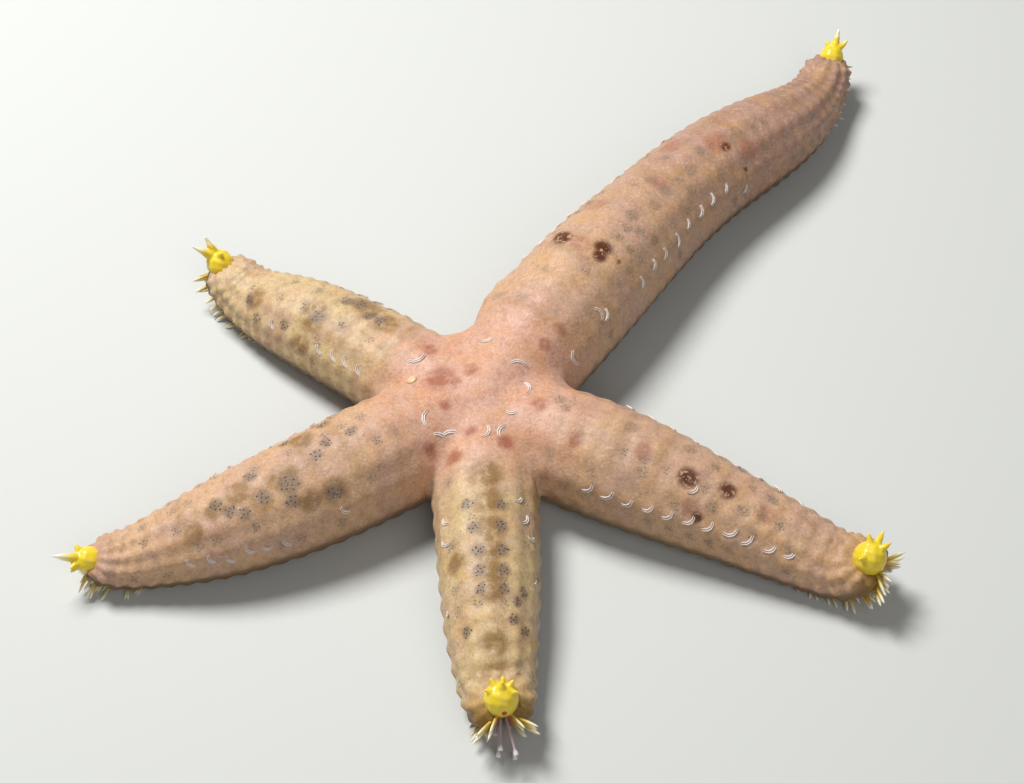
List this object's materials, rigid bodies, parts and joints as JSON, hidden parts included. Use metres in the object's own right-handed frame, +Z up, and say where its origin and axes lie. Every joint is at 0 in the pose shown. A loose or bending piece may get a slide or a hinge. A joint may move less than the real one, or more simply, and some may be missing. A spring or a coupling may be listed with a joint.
{
  "type": "ophidiasterid sea star model",
  "caption": "Still life-size sea star with plump cylindrical arms of unequal length and curled tips capped by spined terminal plates, resting on the floor.",
  "frame": {"origin": "on the floor under the middle of the whole animal's bounding box", "axes": "+Z up from the floor, +X to the viewer's right, +Y away from the viewer"},
  "size_m": [0.1156, 0.1268, 0.0168],
  "materials": {
    "granular_skin": "satin, finely granular living skin",
    "terminal_plate": "glossy calcite plate under thin yellow skin",
    "mouth_membrane": "soft moist membrane",
    "furrow_spine": "blunt calcite spines, yellow with white tips",
    "tube_foot": "translucent mauve feet with white suckers",
    "pedicellaria": "white calcite valves"
  },
  "bodies": {
    "root": {"disc": "granular_skin", "mouth": "mouth_membrane", "arm_rear_left_base": "granular_skin", "arm_rear_left_middle": "granular_skin", "arm_rear_left_end": "granular_skin", "arm_rear_right_base": "granular_skin", "arm_rear_right_middle": "granular_skin", "arm_rear_right_end": "granular_skin", "arm_right_base": "granular_skin", "arm_right_middle": "granular_skin", "arm_right_end": "granular_skin", "arm_front_base": "granular_skin", "arm_front_middle": "granular_skin", "arm_front_end": "granular_skin", "arm_left_base": "granular_skin", "arm_left_middle": "granular_skin", "arm_left_end": "granular_skin", "terminal_rear_left": "terminal_plate", "terminal_rear_right": "terminal_plate", "terminal_right": "terminal_plate", "terminal_front": "terminal_plate", "terminal_left": "terminal_plate"}
  },
  "joints": []
}
